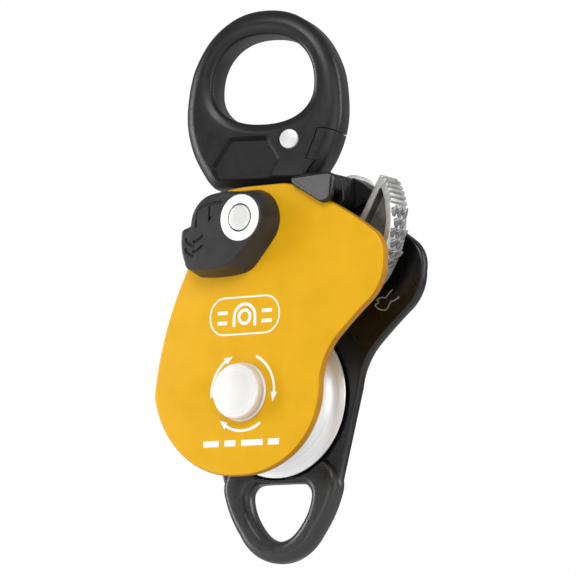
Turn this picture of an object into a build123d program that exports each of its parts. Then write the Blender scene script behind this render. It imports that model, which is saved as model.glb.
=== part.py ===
"""Swivel rope pulley with a toothed progress-capture cam.

Origin: centre of the sheave, on its axle, half way between the side plates.
+Z runs up to the swivel eye, +X towards the cam, the orange side plate faces -Y.
"""
import os
from math import cos, radians, sin

from build123d import *

os.makedirs("parts", exist_ok=True)

# ---------------------------------------------------------------- driving sizes (mm)
TREAD_R = 19.0          # rope tread radius of the sheave
FLANGE_R = 25.0         # sheave flange radius
SHEAVE_W = 16.0         # sheave width over the flanges
AXLE_R = 5.0            # sheave axle shank
HEAD_R = 8.7            # big axle head on the opening plate
PLATE_T = 3.2           # opening plate thickness
BACK_T = 3.5            # fixed plate thickness
INNER_F = -9.2          # inner face of the opening plate
INNER_B = 9.2           # inner face of the fixed plate
PLATE_TOP = 64.8        # top edge of both plates
FRONT = INNER_F - PLATE_T
BACK = INNER_B + BACK_T
EYE_TURN = 14.0         # rest turn of the swivel eye about its own axis
SWIVEL_X = -2.0         # swivel axis offset
EYE_HALF = 26.0         # eye half width
EYE_T = 11.6            # eye thickness at the hole wall
EYE_TOP = 122.8         # top of the eye
EYE_Z = 97.6            # centre height of the eye hole
EYE_HOLE_R = 16.85      # eye hole radius
EYE_HOLE_LOW = 86.0     # flat lower edge of the eye hole
EYE_BASE = 65.5         # underside of the eye base
LEVER_P = (2.7, 53.5)   # lock lever pin
CAM_P = (16.0, 36.0)    # cam pivot
LOCK_P = (26.0, 60.0)   # cam lock pivot
CAM_HALF = 4.4          # half width of the cam
FACE_C = (23.74, 52.20)  # centre of the cam's rope face arc
FACE_R = 24.96          # radius of that arc
FIT = 0.06              # radial running clearance
RACE_R = 5.0            # pitch radius of the swivel balls
RACE_Z = 57.0           # height of the swivel balls


def on_y(y):
    """Sketch plane facing -Y whose local axes are world X and Z."""
    return Plane(origin=(0, y, 0), x_dir=(1, 0, 0), z_dir=(0, -1, 0))


def disc(x, z, r, y0, y1):
    """Round bar along Y between two depths."""
    with BuildPart() as p:
        with BuildSketch(on_y(y1)):
            with Locations((x, z)):
                Circle(r)
        extrude(amount=y1 - y0)
    return p.part


def ring(x, z, r_out, r_in, y0, y1):
    """Flat ring along Y."""
    with BuildPart() as p:
        with BuildSketch(on_y(y1)):
            with Locations((x, z)):
                Circle(r_out)
                Circle(r_in, mode=Mode.SUBTRACT)
        extrude(amount=y1 - y0)
    return p.part


def ease(edges, size):
    """Chamfer edges of the part being built, by less where the full size doesn't fit."""
    for step in (1.0, 0.7, 0.5, 0.3):
        try:
            chamfer(edges, size * step)
            return
        except ValueError:
            continue
    print("edge left sharp, size", size)


def plate_outline(lower):
    """Closed side plate outline, top and sides shared by both plates."""
    with BuildLine() as ln:
        ThreePointArc((-34.7, 0), (-31.2, 19.5), (-24.3, 37.6))
        Line((-24.3, 37.6), (-17.5, 54.0))
        ThreePointArc((-17.5, 54.0), (-14.0, 60.2), (-8.0, 64.2))
        ThreePointArc((-8.0, 64.2), (-4.0, 64.7), (0, PLATE_TOP))
        Line((0, PLATE_TOP), (15.0, PLATE_TOP))
        ThreePointArc((15.0, PLATE_TOP), (33.0, 56.8), (48.2, 47.2))
        ThreePointArc((48.2, 47.2), (51.2, 43.0), (51.6, 38.0))
        ThreePointArc((51.6, 38.0), (50.5, 31.6), (46.0, 25.8))
        Line((46.0, 25.8), (35.8, 16.6))
        ThreePointArc((35.8, 16.6), (31.2, 10.6), (28.8, 2.5))
        if lower:
            Line((28.8, 2.5), (21.9, -28.0))
            Line((21.9, -28.0), (21.4, -30.0))
            Line((21.4, -30.0), (15.3, -42.8))
            ThreePointArc((15.3, -42.8), (0, -51.6), (-15.3, -42.8))
            Line((-15.3, -42.8), (-21.4, -30.0))
            ThreePointArc((-21.4, -30.0), (-22.4, -26.6), (-24.8, -17.4))
            ThreePointArc((-24.8, -17.4), (-32.2, -9.5), (-34.7, 0))
        else:
            ThreePointArc((28.8, 2.5), (26.2, -10.7), (16.4, -21.3))
            ThreePointArc((16.4, -21.3), (8.0, -24.9), (-1.0, -25.9))
            ThreePointArc((-1.0, -25.9), (-24.6, -17.6), (-34.7, 0))
    return ln.wires()[0]


def at_radius(r, deg):
    """Point at a radius and angle about the sheave axle."""
    return (r * cos(radians(deg)), r * sin(radians(deg)))


# ---------------------------------------------------------------- fixed plate and lower eye
SLOT_R = 55.0
STUD_A = 103.0
with BuildPart() as back_b:
    with BuildSketch(on_y(BACK)):
        with BuildLine():
            add(plate_outline(True))
        make_face()
    extrude(amount=BACK_T)
    ease(back_b.faces().sort_by(Axis.Y)[-1].edges(), 1.0)
    # thick lower eye, standing in front of the plate below the sheave
    with BuildSketch(on_y(INNER_B)) as low_s:
        with BuildLine():
            Line((21.4, -30.0), (15.3, -42.8))
            ThreePointArc((15.3, -42.8), (0, -51.6), (-15.3, -42.8))
            Line((-15.3, -42.8), (-21.4, -30.0))
            ThreePointArc((-21.4, -30.0), (-22.0, -27.0), (-21.4, -16.0))
            Line((-21.4, -16.0), (21.4, -16.0))
            ThreePointArc((21.4, -16.0), (22.0, -27.0), (21.4, -30.0))
        make_face()
        Circle(26.0, mode=Mode.SUBTRACT)
        with Locations((0, -16)):
            Rectangle(50, 8.0, mode=Mode.SUBTRACT)
    extrude(amount=INNER_B - 7.4)
    # rounded triangular hole
    with BuildSketch(on_y(BACK)) as hole_s:
        with BuildLine() as hole_l:
            Line((-7.6, -26.6), (7.6, -26.6))
            ThreePointArc((7.6, -26.6), (11.9, -28.6), (12.1, -33.0))
            Line((12.1, -33.0), (5.4, -42.4))
            ThreePointArc((5.4, -42.4), (0, -45.4), (-5.4, -42.4))
            Line((-5.4, -42.4), (-12.1, -33.0))
            ThreePointArc((-12.1, -33.0), (-11.9, -28.6), (-7.6, -26.6))
        make_face()
    extrude(amount=8.0, mode=Mode.SUBTRACT)
    # axle seat
    with BuildSketch(on_y(BACK)):
        Circle(AXLE_R)
    extrude(amount=8.0, mode=Mode.SUBTRACT)
    # counterbore for the flush axle rivet and holes for the other pins
    with BuildSketch(on_y(BACK)):
        Circle(8.0)
    extrude(amount=1.4, mode=Mode.SUBTRACT)
    with BuildSketch(on_y(BACK)):
        with Locations(CAM_P):
            Circle(3.0)
        with Locations(LOCK_P):
            Circle(2.0)
        with Locations((-11.0, 50.0), (7.0, 50.0)):
            Circle(2.0)
    extrude(amount=BACK_T, mode=Mode.SUBTRACT)
back_plate = back_b.part

# ---------------------------------------------------------------- opening plate
with BuildPart() as front_b:
    with BuildSketch(on_y(INNER_F)):
        with BuildLine():
            add(plate_outline(False))
        make_face()
        Circle(AXLE_R + FIT, mode=Mode.SUBTRACT)
        with Locations(LEVER_P):
            Circle(3.2, mode=Mode.SUBTRACT)
        # open arc slot that slides over the support stud
        with BuildLine():
            CenterArc((0, 0), SLOT_R - 3.2, STUD_A, 18)
            Line(at_radius(SLOT_R - 3.2, STUD_A + 18), at_radius(SLOT_R + 3.2, STUD_A + 18))
            CenterArc((0, 0), SLOT_R + 3.2, STUD_A, 18)
            ThreePointArc(at_radius(SLOT_R + 3.2, STUD_A), at_radius(SLOT_R, STUD_A - 3.33),
                          at_radius(SLOT_R - 3.2, STUD_A))
        make_face(mode=Mode.SUBTRACT)
    extrude(amount=PLATE_T)
    ease(front_b.faces().filter_by(Plane.XZ).sort_by(Axis.Y)[0].outer_wire().edges(), 0.6)
front_plate = front_b.part

# ---------------------------------------------------------------- head block between the plates
with BuildPart() as head_b:
    with BuildSketch(on_y(INNER_B)):
        with BuildLine():
            ThreePointArc((-15.0, 44.5), (-6.0, 43.6), (3.0, 44.2))
            ThreePointArc((3.0, 44.2), (8.0, 47.0), (12.5, 50.5))
            Line((12.5, 50.5), (12.5, 64.4))
            Line((12.5, 64.4), (-7.5, 64.4))
            ThreePointArc((-7.5, 64.4), (-13.0, 60.4), (-16.0, 54.0))
            Line((-16.0, 54.0), (-15.0, 44.5))
        make_face()
    extrude(amount=INNER_B + 8.8)
    # swivel bore, running race and nut pocket
    with BuildSketch(Plane.XY.offset(EYE_BASE)):
        with Locations((SWIVEL_X, 0)):
            Circle(4.0 + FIT)
    extrude(amount=-40, mode=Mode.SUBTRACT)
    with BuildSketch(Plane.XY.offset(50.0)):
        with Locations((SWIVEL_X, 0)):
            Circle(7.0)
    extrude(amount=-20, mode=Mode.SUBTRACT)
    # ball groove and the cavity that clears the ball cage
    with BuildSketch(Plane.XZ):
        with Locations((SWIVEL_X + RACE_R, RACE_Z)):
            Circle(1.56)
    revolve(axis=Axis((SWIVEL_X, 0, 0), (0, 0, 1)), revolution_arc=360, mode=Mode.SUBTRACT)
    with BuildSketch(Plane.XY.offset(RACE_Z - 0.8)):
        with Locations((SWIVEL_X, 0)):
            Circle(RACE_R + 0.8)
    extrude(amount=1.6, mode=Mode.SUBTRACT)
    # rivet holes from the fixed plate
    with BuildSketch(on_y(INNER_B)):
        with Locations((-11.0, 50.0), (7.0, 50.0)):
            Circle(2.0)
    extrude(amount=6.0, mode=Mode.SUBTRACT)
    # seat of the support stud
    with BuildSketch(on_y(-8.8)):
        with Locations(at_radius(SLOT_R, STUD_A)):
            Circle(2.0)
    extrude(amount=-3.0, mode=Mode.SUBTRACT)
head_block = head_b.part

# rivets joining the head block and the fixed plate
with BuildPart() as riv_b:
    with BuildSketch(on_y(BACK - 0.4)):
        with Locations((-11.0, 50.0), (7.0, 50.0)):
            Circle(2.0)
    extrude(amount=BACK - 0.4 - INNER_B + 5.5)
head_rivets = riv_b.part

# support stud with a flanged tip inside the plate's slot
with BuildPart() as stud_b:
    add(disc(*at_radius(SLOT_R, STUD_A), 2.0, -8.8, -6.0))
    add(disc(*at_radius(SLOT_R, STUD_A), 2.8, FRONT + 0.6, -8.8))
top_stud = stud_b.part

# ---------------------------------------------------------------- swivel eye (built straight, turned below)


def eye_outer(half, top, low):
    """Outline of the eye and its base, seen square on."""
    with BuildLine() as ln:
        ThreePointArc((-half, 87.5), (-18.2, 114.4), (0, top))
        ThreePointArc((0, top), (18.2, 114.4), (half, 87.5))
        ThreePointArc((half, 87.5), (half - 0.8, 78.0), (19.0, 69.0))
        Line((19.0, 69.0), (15.5, low))
        Line((15.5, low), (-15.5, low))
        Line((-15.5, low), (-19.0, 69.0))
        ThreePointArc((-19.0, 69.0), (-half + 0.8, 78.0), (-half, 87.5))
    return ln.wires()[0]


with BuildPart() as eye_b:
    with BuildSketch(on_y(EYE_T / 2)):
        with BuildLine():
            add(eye_outer(EYE_HALF, EYE_TOP, EYE_BASE))
        make_face()
    extrude(amount=EYE_T)
    ease(eye_b.faces().filter_by(Plane.XZ).edges().filter_by(GeomType.CIRCLE), 2.2)
    # deeper base boss around the swivel
    with BuildSketch(Plane.XY.offset(EYE_BASE)):
        SlotOverall(30.0, 15.0)
    extrude(amount=9.0)
    # hole with a flat lower edge
    with BuildSketch(on_y(10)) as h_s:
        with Locations((0, EYE_Z)):
            Circle(EYE_HOLE_R)
        with Locations((0, EYE_HOLE_LOW - 10)):
            Rectangle(40, 20, mode=Mode.SUBTRACT)
    extrude(amount=20, mode=Mode.SUBTRACT)
    # shallow six-sided recess on the base
    with BuildSketch(on_y(-EYE_T / 2)):
        with Locations((-4.6, 76.3)):
            Trapezoid(18.5, 6.0, 60)
            with Locations((-0.0, -5.8)):
                Trapezoid(18.5, 5.6, 66, rotation=180)
    extrude(amount=-0.7, mode=Mode.SUBTRACT)
    # cross pin hole
    with BuildSketch(on_y(10)):
        with Locations((9.8, 80.3)):
            Circle(3.0)
    extrude(amount=20, mode=Mode.SUBTRACT)
    # seat of the keeper on the right shoulder
    with BuildSketch(on_y(10)):
        with BuildLine():
            Polyline((19.3, 83.6), (17.2, 73.8), (19.5, 66.0), (30.0, 66.0), (30.0, 79.0))
            ThreePointArc((30.0, 79.0), (24.6, 82.4), (19.3, 83.6))
        make_face()
    extrude(amount=20, mode=Mode.SUBTRACT)
    # stud seat
    with BuildSketch(Plane.XY.offset(EYE_BASE)):
        Circle(4.0)
    extrude(amount=10.0, mode=Mode.SUBTRACT)
eye_flat = eye_b.part

with BuildPart() as keep_b:
    with BuildSketch(on_y(EYE_T / 2)):
        with BuildLine():
            Line((19.21, 83.2), (17.2, 73.8))
            Line((17.2, 73.8), (18.9, 69.0))
            ThreePointArc((18.9, 69.0), (24.8, 75.2), (26.2, 80.6))
            ThreePointArc((26.2, 80.6), (22.9, 82.5), (19.21, 83.2))
        make_face()
    extrude(amount=EYE_T)
    ease(keep_b.faces().filter_by(Plane.XZ).edges(), 0.5)
keeper_flat = keep_b.part

with BuildPart() as pin_b:
    add(disc(9.8, 80.3, 3.0, -EYE_T / 2 - 0.4, EYE_T / 2 + 0.4))
    ease(pin_b.edges(), 0.35)
cross_flat = pin_b.part

# swivel stud with its ball groove, and the retaining nut
with BuildPart() as stud2_b:
    with BuildSketch(Plane.XY.offset(48.8)):
        Circle(4.0)
    extrude(amount=EYE_BASE + 10.0 - 48.8)
    with BuildSketch(Plane.XZ):
        with Locations((RACE_R, RACE_Z)):
            Circle(1.56)
    revolve(axis=Axis.Z, revolution_arc=360, mode=Mode.SUBTRACT)
swivel_flat = stud2_b.part

with BuildPart() as race_b:
    with BuildSketch(Plane.XY.offset(RACE_Z - 0.5)):
        Circle(RACE_R + 0.4)
        Circle(RACE_R - 0.4, mode=Mode.SUBTRACT)
    extrude(amount=1.0)
    with Locations((0, 0, RACE_Z)):
        with PolarLocations(RACE_R, 8):
            Sphere(1.5)
race_raw = race_b.part

with BuildPart() as nut_b:
    with BuildSketch(Plane.XY.offset(46.0)):
        RegularPolygon(6.2, 6)
    extrude(amount=2.8)
nut_flat = nut_b.part

turn = Location((SWIVEL_X, 0, 0), (0, 0, EYE_TURN))
swivel_balls = Location((SWIVEL_X, 0, 0)) * race_raw
swivel_eye = turn * eye_flat
eye_keeper = turn * keeper_flat
eye_cross_pin = turn * cross_flat
swivel_stud = turn * swivel_flat
swivel_nut = turn * nut_flat

# ---------------------------------------------------------------- sheave, bearing and axle
with BuildPart() as sheave_b:
    with BuildSketch(Plane.XY) as prof:
        with BuildLine():
            Line((14.0, -6.0), (14.0, 6.0))
            Line((14.0, 6.0), (21.0, 6.9))
            Line((21.0, 6.9), (23.4, SHEAVE_W / 2))
            Line((23.4, SHEAVE_W / 2), (24.6, SHEAVE_W / 2))
            ThreePointArc((24.6, SHEAVE_W / 2), (FLANGE_R, 7.7), (24.8, 7.2))
            ThreePointArc((24.8, 7.2), (TREAD_R, 0), (24.8, -7.2))
            ThreePointArc((24.8, -7.2), (FLANGE_R, -7.7), (24.6, -SHEAVE_W / 2))
            Line((24.6, -SHEAVE_W / 2), (23.4, -SHEAVE_W / 2))
            Line((23.4, -SHEAVE_W / 2), (21.0, -6.9))
            Line((21.0, -6.9), (14.0, -6.0))
        make_face()
    revolve(axis=Axis.Y, revolution_arc=360)
sheave = sheave_b.part

BALL_PCR = 10.0
BALL_R = 1.9
with BuildPart() as outer_b:
    add(ring(0, 0, 14.0, 11.6, -5.5, 5.5))
    with BuildSketch(Plane.XY):
        for side in (-2.6, 2.6):
            with Locations((BALL_PCR, side)):
                Circle(BALL_R + 0.04)
    revolve(axis=Axis.Y, revolution_arc=360, mode=Mode.SUBTRACT)
bearing_outer = outer_b.part

with BuildPart() as inner_b:
    add(ring(0, 0, 8.4, AXLE_R, -8.6, 8.6))
    with BuildSketch(Plane.XY):
        for side in (-2.6, 2.6):
            with Locations((BALL_PCR, side)):
                Circle(BALL_R + 0.04)
    revolve(axis=Axis.Y, revolution_arc=360, mode=Mode.SUBTRACT)
bearing_inner = inner_b.part

with BuildPart() as ball_b:
    add(ring(0, 0, BALL_PCR + 0.6, BALL_PCR - 0.6, -3.6, 3.6))
    for side in (-2.6, 2.6):
        with Locations(Plane(origin=(0, side, 0), x_dir=(1, 0, 0), z_dir=(0, -1, 0))):
            with PolarLocations(BALL_PCR, 9):
                Sphere(BALL_R)
bearing_balls = ball_b.part

with BuildPart() as axle_b:
    add(disc(0, 0, AXLE_R, -13.6, BACK - 1.4))
    add(disc(0, 0, 4.0, BACK - 1.4, BACK - 0.3))
    add(disc(0, 0, HEAD_R, -16.5, -13.9))
    add(disc(0, 0, 7.6, -13.9, -13.3))
    ease(axle_b.faces().sort_by(Axis.Y)[0].edges(), 0.5)
sheave_axle = axle_b.part

axle_washer = ring(0, 0, 9.2, AXLE_R, -13.3, FRONT - 0.05)
with BuildPart() as riv_ring:
    add(ring(0, 0, 7.9, 4.0, BACK - 1.4, BACK - 0.3))
axle_rivet = riv_ring.part

# ---------------------------------------------------------------- cam
with BuildPart() as cam_b:
    with BuildSketch(on_y(CAM_HALF)) as cam_s:
        with BuildLine():
            ThreePointArc((9.2, 38.5), (13.6, 28.9), (22.4, 33.0))
            Line((22.4, 33.0), (31.0, 29.0))
            ThreePointArc((31.0, 29.0), (39.5, 32.2), (44.6, 38.5))
            ThreePointArc((44.6, 38.5), (48.6, 50.0), (45.46, 64.5))
            Line((45.46, 64.5), (44.9, 66.0))
            Line((44.9, 66.0), (43.9, 65.6))
            Line((43.9, 65.6), (34.5, 49.0))
            Line((34.5, 49.0), (20.0, 42.2))
            ThreePointArc((20.0, 42.2), (13.5, 43.0), (9.2, 38.5))
        make_face()
        with Locations(CAM_P):
            Circle(3.0 + FIT, mode=Mode.SUBTRACT)
    extrude(amount=2 * CAM_HALF)
    # open pockets either side of the web
    for depth in (CAM_HALF, -CAM_HALF + 3.4):
        with BuildSketch(on_y(depth)):
            with BuildLine():
                Line((44.4, 61.6), (36.8, 48.2))
                ThreePointArc((36.8, 48.2), (33.2, 40.5), (33.0, 33.5))
                ThreePointArc((33.0, 33.5), (38.3, 35.4), (42.0, 40.0))
                ThreePointArc((42.0, 40.0), (45.7, 50.0), (44.4, 61.6))
            make_face()
        extrude(amount=3.4, mode=Mode.SUBTRACT)
    # rope teeth in rows across the face, leaning towards the tip
    for row in range(5):
        turn = -28.2 + 8.88 * row
        x = FACE_C[0] + FACE_R * cos(radians(turn))
        z = FACE_C[1] + FACE_R * sin(radians(turn))
        lean = radians(turn + 32.0)
        for col in (-3.3, -1.65, 0.0, 1.65, 3.3):
            with Locations(Plane(origin=(x - 0.5 * cos(lean), col, z - 0.5 * sin(lean)),
                                 x_dir=(0, 1, 0), z_dir=(cos(lean), 0, sin(lean)))):
                Cone(0.95, 0.2, 2.9, align=(Align.CENTER, Align.CENTER, Align.MIN))
    # stepped thumb grip above the teeth
    for row in range(4):
        turn_a = radians(13.0 + 5.0 * row)
        with Locations(Plane(origin=(FACE_C[0] + FACE_R * cos(turn_a), 0, FACE_C[1] + FACE_R * sin(turn_a)),
                             x_dir=(0, 1, 0), z_dir=(cos(turn_a), 0, sin(turn_a)))):
            Box(2 * CAM_HALF, 1.3, 1.6)
cam = cam_b.part

cam_axle = disc(*CAM_P, 3.0, -8.8, BACK - 0.3)
cam_spacer = ring(*CAM_P, 5.4, 3.0, CAM_HALF + 0.4, INNER_B)
with BuildPart() as ca_b:
    add(ring(*CAM_P, 4.6, 3.0, -8.8, -7.6))
cam_clip = ca_b.part

# return spring coil round the cam axle, seated on the clip
with BuildPart() as cs_b:
    with Locations(Location((CAM_P[0], -6.9, CAM_P[1]), (90, 0, 0))):
        Torus(4.1, 0.7)
cam_spring = cs_b.part

# ---------------------------------------------------------------- cam lock (trigger)
with BuildPart() as lock_b:
    # front pad in front of the opening plate
    with BuildSketch(on_y(-12.8)):
        with BuildLine():
            ThreePointArc((17.6, 63.2), (16.2, 64.8), (17.6, 65.9))
            Line((17.6, 65.9), (30.0, 66.2))
            ThreePointArc((30.0, 66.2), (31.4, 65.6), (31.8, 64.2))
            Line((31.8, 64.2), (31.4, 60.0))
            ThreePointArc((31.4, 60.0), (30.2, 58.2), (28.0, 59.0))
            Line((28.0, 59.0), (17.6, 63.2))
        make_face()
    extrude(amount=1.8)
    # neck over the top edge of the plate
    with BuildSketch(on_y(-8.4)):
        with BuildLine():
            Line((20.0, 68.6), (20.0, 66.0))
            Line((20.0, 66.0), (30.0, 66.0))
            Line((30.0, 66.0), (30.0, 61.5))
            Line((30.0, 61.5), (34.0, 61.5))
            Line((34.0, 61.5), (34.0, 65.0))
            ThreePointArc((34.0, 65.0), (28.0, 68.0), (20.0, 68.6))
        make_face()
    extrude(amount=4.5)
    # body between the plates, reaching to the cam's leg
    with BuildSketch(on_y(4.0)):
        with BuildLine():
            ThreePointArc((21.5, 63.5), (20.6, 58.5), (25.0, 55.4))
            Line((25.0, 55.4), (31.0, 55.4))
            Line((31.0, 55.4), (38.2, 58.8))
            Line((38.2, 58.8), (40.0, 61.8))
            ThreePointArc((40.0, 61.8), (38.6, 64.4), (34.0, 65.4))
            Line((34.0, 65.4), (23.0, 65.4))
            ThreePointArc((23.0, 65.4), (22.0, 65.0), (21.5, 63.5))
        make_face()
    extrude(amount=12.4)
    with BuildSketch(on_y(10.0)):
        with Locations(LOCK_P):
            Circle(2.0 + FIT)
    extrude(amount=18.6, mode=Mode.SUBTRACT)
cam_lock = lock_b.part

with BuildPart() as la_b:
    add(disc(*LOCK_P, 2.0, -8.6, BACK - 0.3))
    add(disc(28.0, LOCK_P[1], 8.4, 5.5, INNER_B))
lock_axle = la_b.part
with BuildPart() as ls_b:
    with Locations(Location((LOCK_P[0], 4.85, LOCK_P[1]), (90, 0, 0))):
        Torus(3.4, 0.65)
lock_spring = ls_b.part

# ---------------------------------------------------------------- lock lever on the opening plate
LEVER_Y = FRONT - 0.05


def lever_wire(drop, side):
    """Outline of the lever at its base or, drawn in by the given steps, at its face."""
    with BuildLine() as ln:
        Line((-17.2, 37.0 + drop), (-0.5 - side, 37.2 + drop))
        ThreePointArc((-0.5 - side, 37.2 + drop), (5.0 - side, 40.3 + drop), (8.8 - side, 45.6 + drop))
        ThreePointArc((8.8 - side, 45.6 + drop), (12.3 - side, 54.6), (2.7, 63.1 - 0.5 * side))
        Line((2.7, 63.1 - 0.5 * side), (-9.0, 62.6 - 0.3 * drop))
        ThreePointArc((-9.0, 62.6 - 0.3 * drop), (-14.6, 60.6 - 0.3 * drop), (-17.2, 55.5))
        Line((-17.2, 55.5), (-17.4, 52.2))
        Line((-17.4, 52.2), (-20.0, 50.6))
        ThreePointArc((-20.0, 50.6), (-19.9, 44.6), (-18.6, 39.4))
        ThreePointArc((-18.6, 39.4), (-18.1, 37.9), (-17.2, 37.0 + drop))
    return ln.wires()[0]


with BuildPart() as lever_b:
    with BuildSketch(on_y(LEVER_Y)):
        with BuildLine():
            add(lever_wire(0.0, 0.0))
        make_face()
    extrude(amount=3.4)
    with BuildSketch(on_y(LEVER_Y - 3.4)):
        with BuildLine():
            add(lever_wire(1.0, 1.4))
        make_face()
    extrude(amount=4.0)
    ease(lever_b.faces().filter_by(Plane.XZ).sort_by(Axis.Y)[0].edges(), 0.8)
    # bore for the pin and the pocket for the spring underneath
    with BuildSketch(on_y(LEVER_Y)):
        with Locations(LEVER_P):
            Circle(3.2 + FIT)
    extrude(amount=8.0, mode=Mode.SUBTRACT)
    with BuildSketch(on_y(LEVER_Y)):
        with Locations(LEVER_P):
            Circle(7.4)
            Circle(4.4, mode=Mode.SUBTRACT)
    extrude(amount=2.6, mode=Mode.SUBTRACT)
lock_lever = lever_b.part

with BuildPart() as lp_b:
    add(disc(*LEVER_P, 3.2, -19.96, INNER_F))
    add(disc(*LEVER_P, 4.2, -20.6, -19.96))
    ease(lp_b.faces().sort_by(Axis.Y)[0].edges(), 0.3)
lever_pin = lp_b.part
lever_ring = ring(*LEVER_P, 7.3, 4.2, -20.4, -19.96)
with BuildPart() as lvs_b:
    for k in range(2):
        with Locations(Location((LEVER_P[0], FRONT - 0.55 - 1.0 * k, LEVER_P[1]), (90, 0, 0))):
            Torus(5.9, 0.55)
lever_spring = lvs_b.part

# bearing shields, one either side
shield_front = ring(0, 0, 13.9, 8.8, -6.2, -5.5)
shield_back = ring(0, 0, 13.9, 8.8, 5.5, 6.2)

# ---------------------------------------------------------------- write one file per piece
PIECES = [
    ("swivel_eye", swivel_eye), ("eye_keeper", eye_keeper), ("eye_cross_pin", eye_cross_pin),
    ("swivel_stud", swivel_stud), ("swivel_nut", swivel_nut), ("swivel_balls", swivel_balls),
    ("back_plate", back_plate), ("head_block", head_block), ("head_rivet", head_rivets),
    ("top_stud", top_stud), ("front_plate", front_plate), ("sheave", sheave),
    ("bearing_outer", bearing_outer), ("bearing_inner", bearing_inner),
    ("bearing_balls", bearing_balls), ("shield_front", shield_front),
    ("shield_back", shield_back), ("sheave_axle", sheave_axle), ("axle_washer", axle_washer),
    ("axle_rivet", axle_rivet), ("cam", cam), ("cam_axle", cam_axle),
    ("cam_spacer", cam_spacer), ("cam_clip", cam_clip), ("cam_spring", cam_spring),
    ("cam_lock", cam_lock), ("lock_axle", lock_axle), ("lock_spring", lock_spring),
    ("lock_lever", lock_lever), ("lever_pin", lever_pin), ("lever_ring", lever_ring),
    ("lever_spring", lever_spring),
]
for name, shape in PIECES:
    shape.label = name
    solids = shape.solids()
    if len(solids) > 1:
        print(name, len(solids), [round(one.volume, 2) for one in solids])
    export_step(shape, "parts/" + name + ".step")
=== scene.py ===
import math

import bmesh
import bpy
import numpy as np
from mathutils import Matrix, Vector


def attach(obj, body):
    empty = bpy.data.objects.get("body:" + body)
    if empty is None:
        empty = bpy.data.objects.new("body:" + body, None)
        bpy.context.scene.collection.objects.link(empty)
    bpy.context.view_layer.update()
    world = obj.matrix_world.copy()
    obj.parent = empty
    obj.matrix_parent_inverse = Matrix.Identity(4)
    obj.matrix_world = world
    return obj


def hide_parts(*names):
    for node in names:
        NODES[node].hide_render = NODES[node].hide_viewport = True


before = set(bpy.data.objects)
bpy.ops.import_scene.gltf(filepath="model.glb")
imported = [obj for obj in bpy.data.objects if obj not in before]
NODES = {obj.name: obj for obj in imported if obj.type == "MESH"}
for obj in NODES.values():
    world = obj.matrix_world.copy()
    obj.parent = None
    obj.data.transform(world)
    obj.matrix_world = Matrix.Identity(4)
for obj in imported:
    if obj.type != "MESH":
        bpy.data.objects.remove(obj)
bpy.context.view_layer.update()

MM = 0.001
SCENE = bpy.context.scene

# ------------------------------------------------------------------ camera
AZ, EL, ROLL, DIST = math.radians(36.0), math.radians(-6.6), math.radians(1.5), 1.2
AIM_RIGHT, AIM_UP = 0.006875, 0.0339
LENS, SENSOR = 240.0, 36.0
back = Vector((math.sin(AZ) * math.cos(EL), -math.cos(AZ) * math.cos(EL), math.sin(EL)))
right = Vector((math.cos(AZ), math.sin(AZ), 0.0))
up = back.cross(right)
cam_x = right * math.cos(ROLL) + up * math.sin(ROLL)
cam_y = -right * math.sin(ROLL) + up * math.cos(ROLL)
aim = cam_x * AIM_RIGHT + cam_y * AIM_UP
cam_data = bpy.data.cameras.new("camera")
cam_data.lens, cam_data.sensor_width = LENS, SENSOR
cam_data.clip_start, cam_data.clip_end = 0.05, 20.0
cam = bpy.data.objects.new("camera", cam_data)
SCENE.collection.objects.link(cam)
cam.location = back * DIST
axis_z = (cam.location - aim).normalized()
axis_x = cam_y.cross(axis_z).normalized()
axis_y = axis_z.cross(axis_x)
cam.rotation_mode = "QUATERNION"
cam.rotation_quaternion = Matrix((axis_x, axis_y, axis_z)).transposed().to_quaternion()
SCENE.camera = cam


# ------------------------------------------------------------------ materials
NOISE_ROUGHNESS = 0.55


def material(name, colour, rough, metal=0.0, spec=0.5):
    """Principled material; returns it with its tree, shader and object coordinates."""
    m = bpy.data.materials.new(name)
    m.use_nodes = True
    tree = m.node_tree
    bsdf = tree.nodes["Principled BSDF"]
    bsdf.inputs["Base Color"].default_value = (*colour, 1.0)
    bsdf.inputs["Roughness"].default_value = rough
    bsdf.inputs["Metallic"].default_value = metal
    bsdf.inputs["Specular IOR Level"].default_value = spec
    coord = tree.nodes.new("ShaderNodeTexCoord")
    return m, tree, bsdf, coord.outputs["Object"]


def noise(tree, vector, scale, detail=4.0):
    """Noise value over the object."""
    node = tree.nodes.new("ShaderNodeTexNoise")
    node.inputs["Scale"].default_value = scale
    node.inputs["Detail"].default_value = detail
    node.inputs["Roughness"].default_value = NOISE_ROUGHNESS
    tree.links.new(vector, node.inputs["Vector"])
    return node.outputs["Fac"]


def remap(tree, value, low, high, start=0.3, end=0.7):
    """Value brought from start..end to low..high; the defaults are where noise mostly lies."""
    node = tree.nodes.new("ShaderNodeMapRange")
    node.inputs["From Min"].default_value = start
    node.inputs["From Max"].default_value = end
    node.inputs["To Min"].default_value = low
    node.inputs["To Max"].default_value = high
    tree.links.new(value, node.inputs["Value"])
    return node.outputs["Result"]


def bump(tree, bsdf, height, strength, distance):
    """Fine relief on the surface; distance in metres."""
    node = tree.nodes.new("ShaderNodeBump")
    node.inputs["Strength"].default_value = strength
    node.inputs["Distance"].default_value = distance
    tree.links.new(height, node.inputs["Height"])
    tree.links.new(node.outputs["Normal"], bsdf.inputs["Normal"])


def two_tone(tree, bsdf, factor, dark, light):
    """Base colour between two shades."""
    mix = tree.nodes.new("ShaderNodeMix")
    mix.data_type = "RGBA"
    mix.inputs["A"].default_value = (*dark, 1.0)
    mix.inputs["B"].default_value = (*light, 1.0)
    tree.links.new(factor, mix.inputs["Factor"])
    tree.links.new(mix.outputs["Result"], bsdf.inputs["Base Color"])


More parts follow.
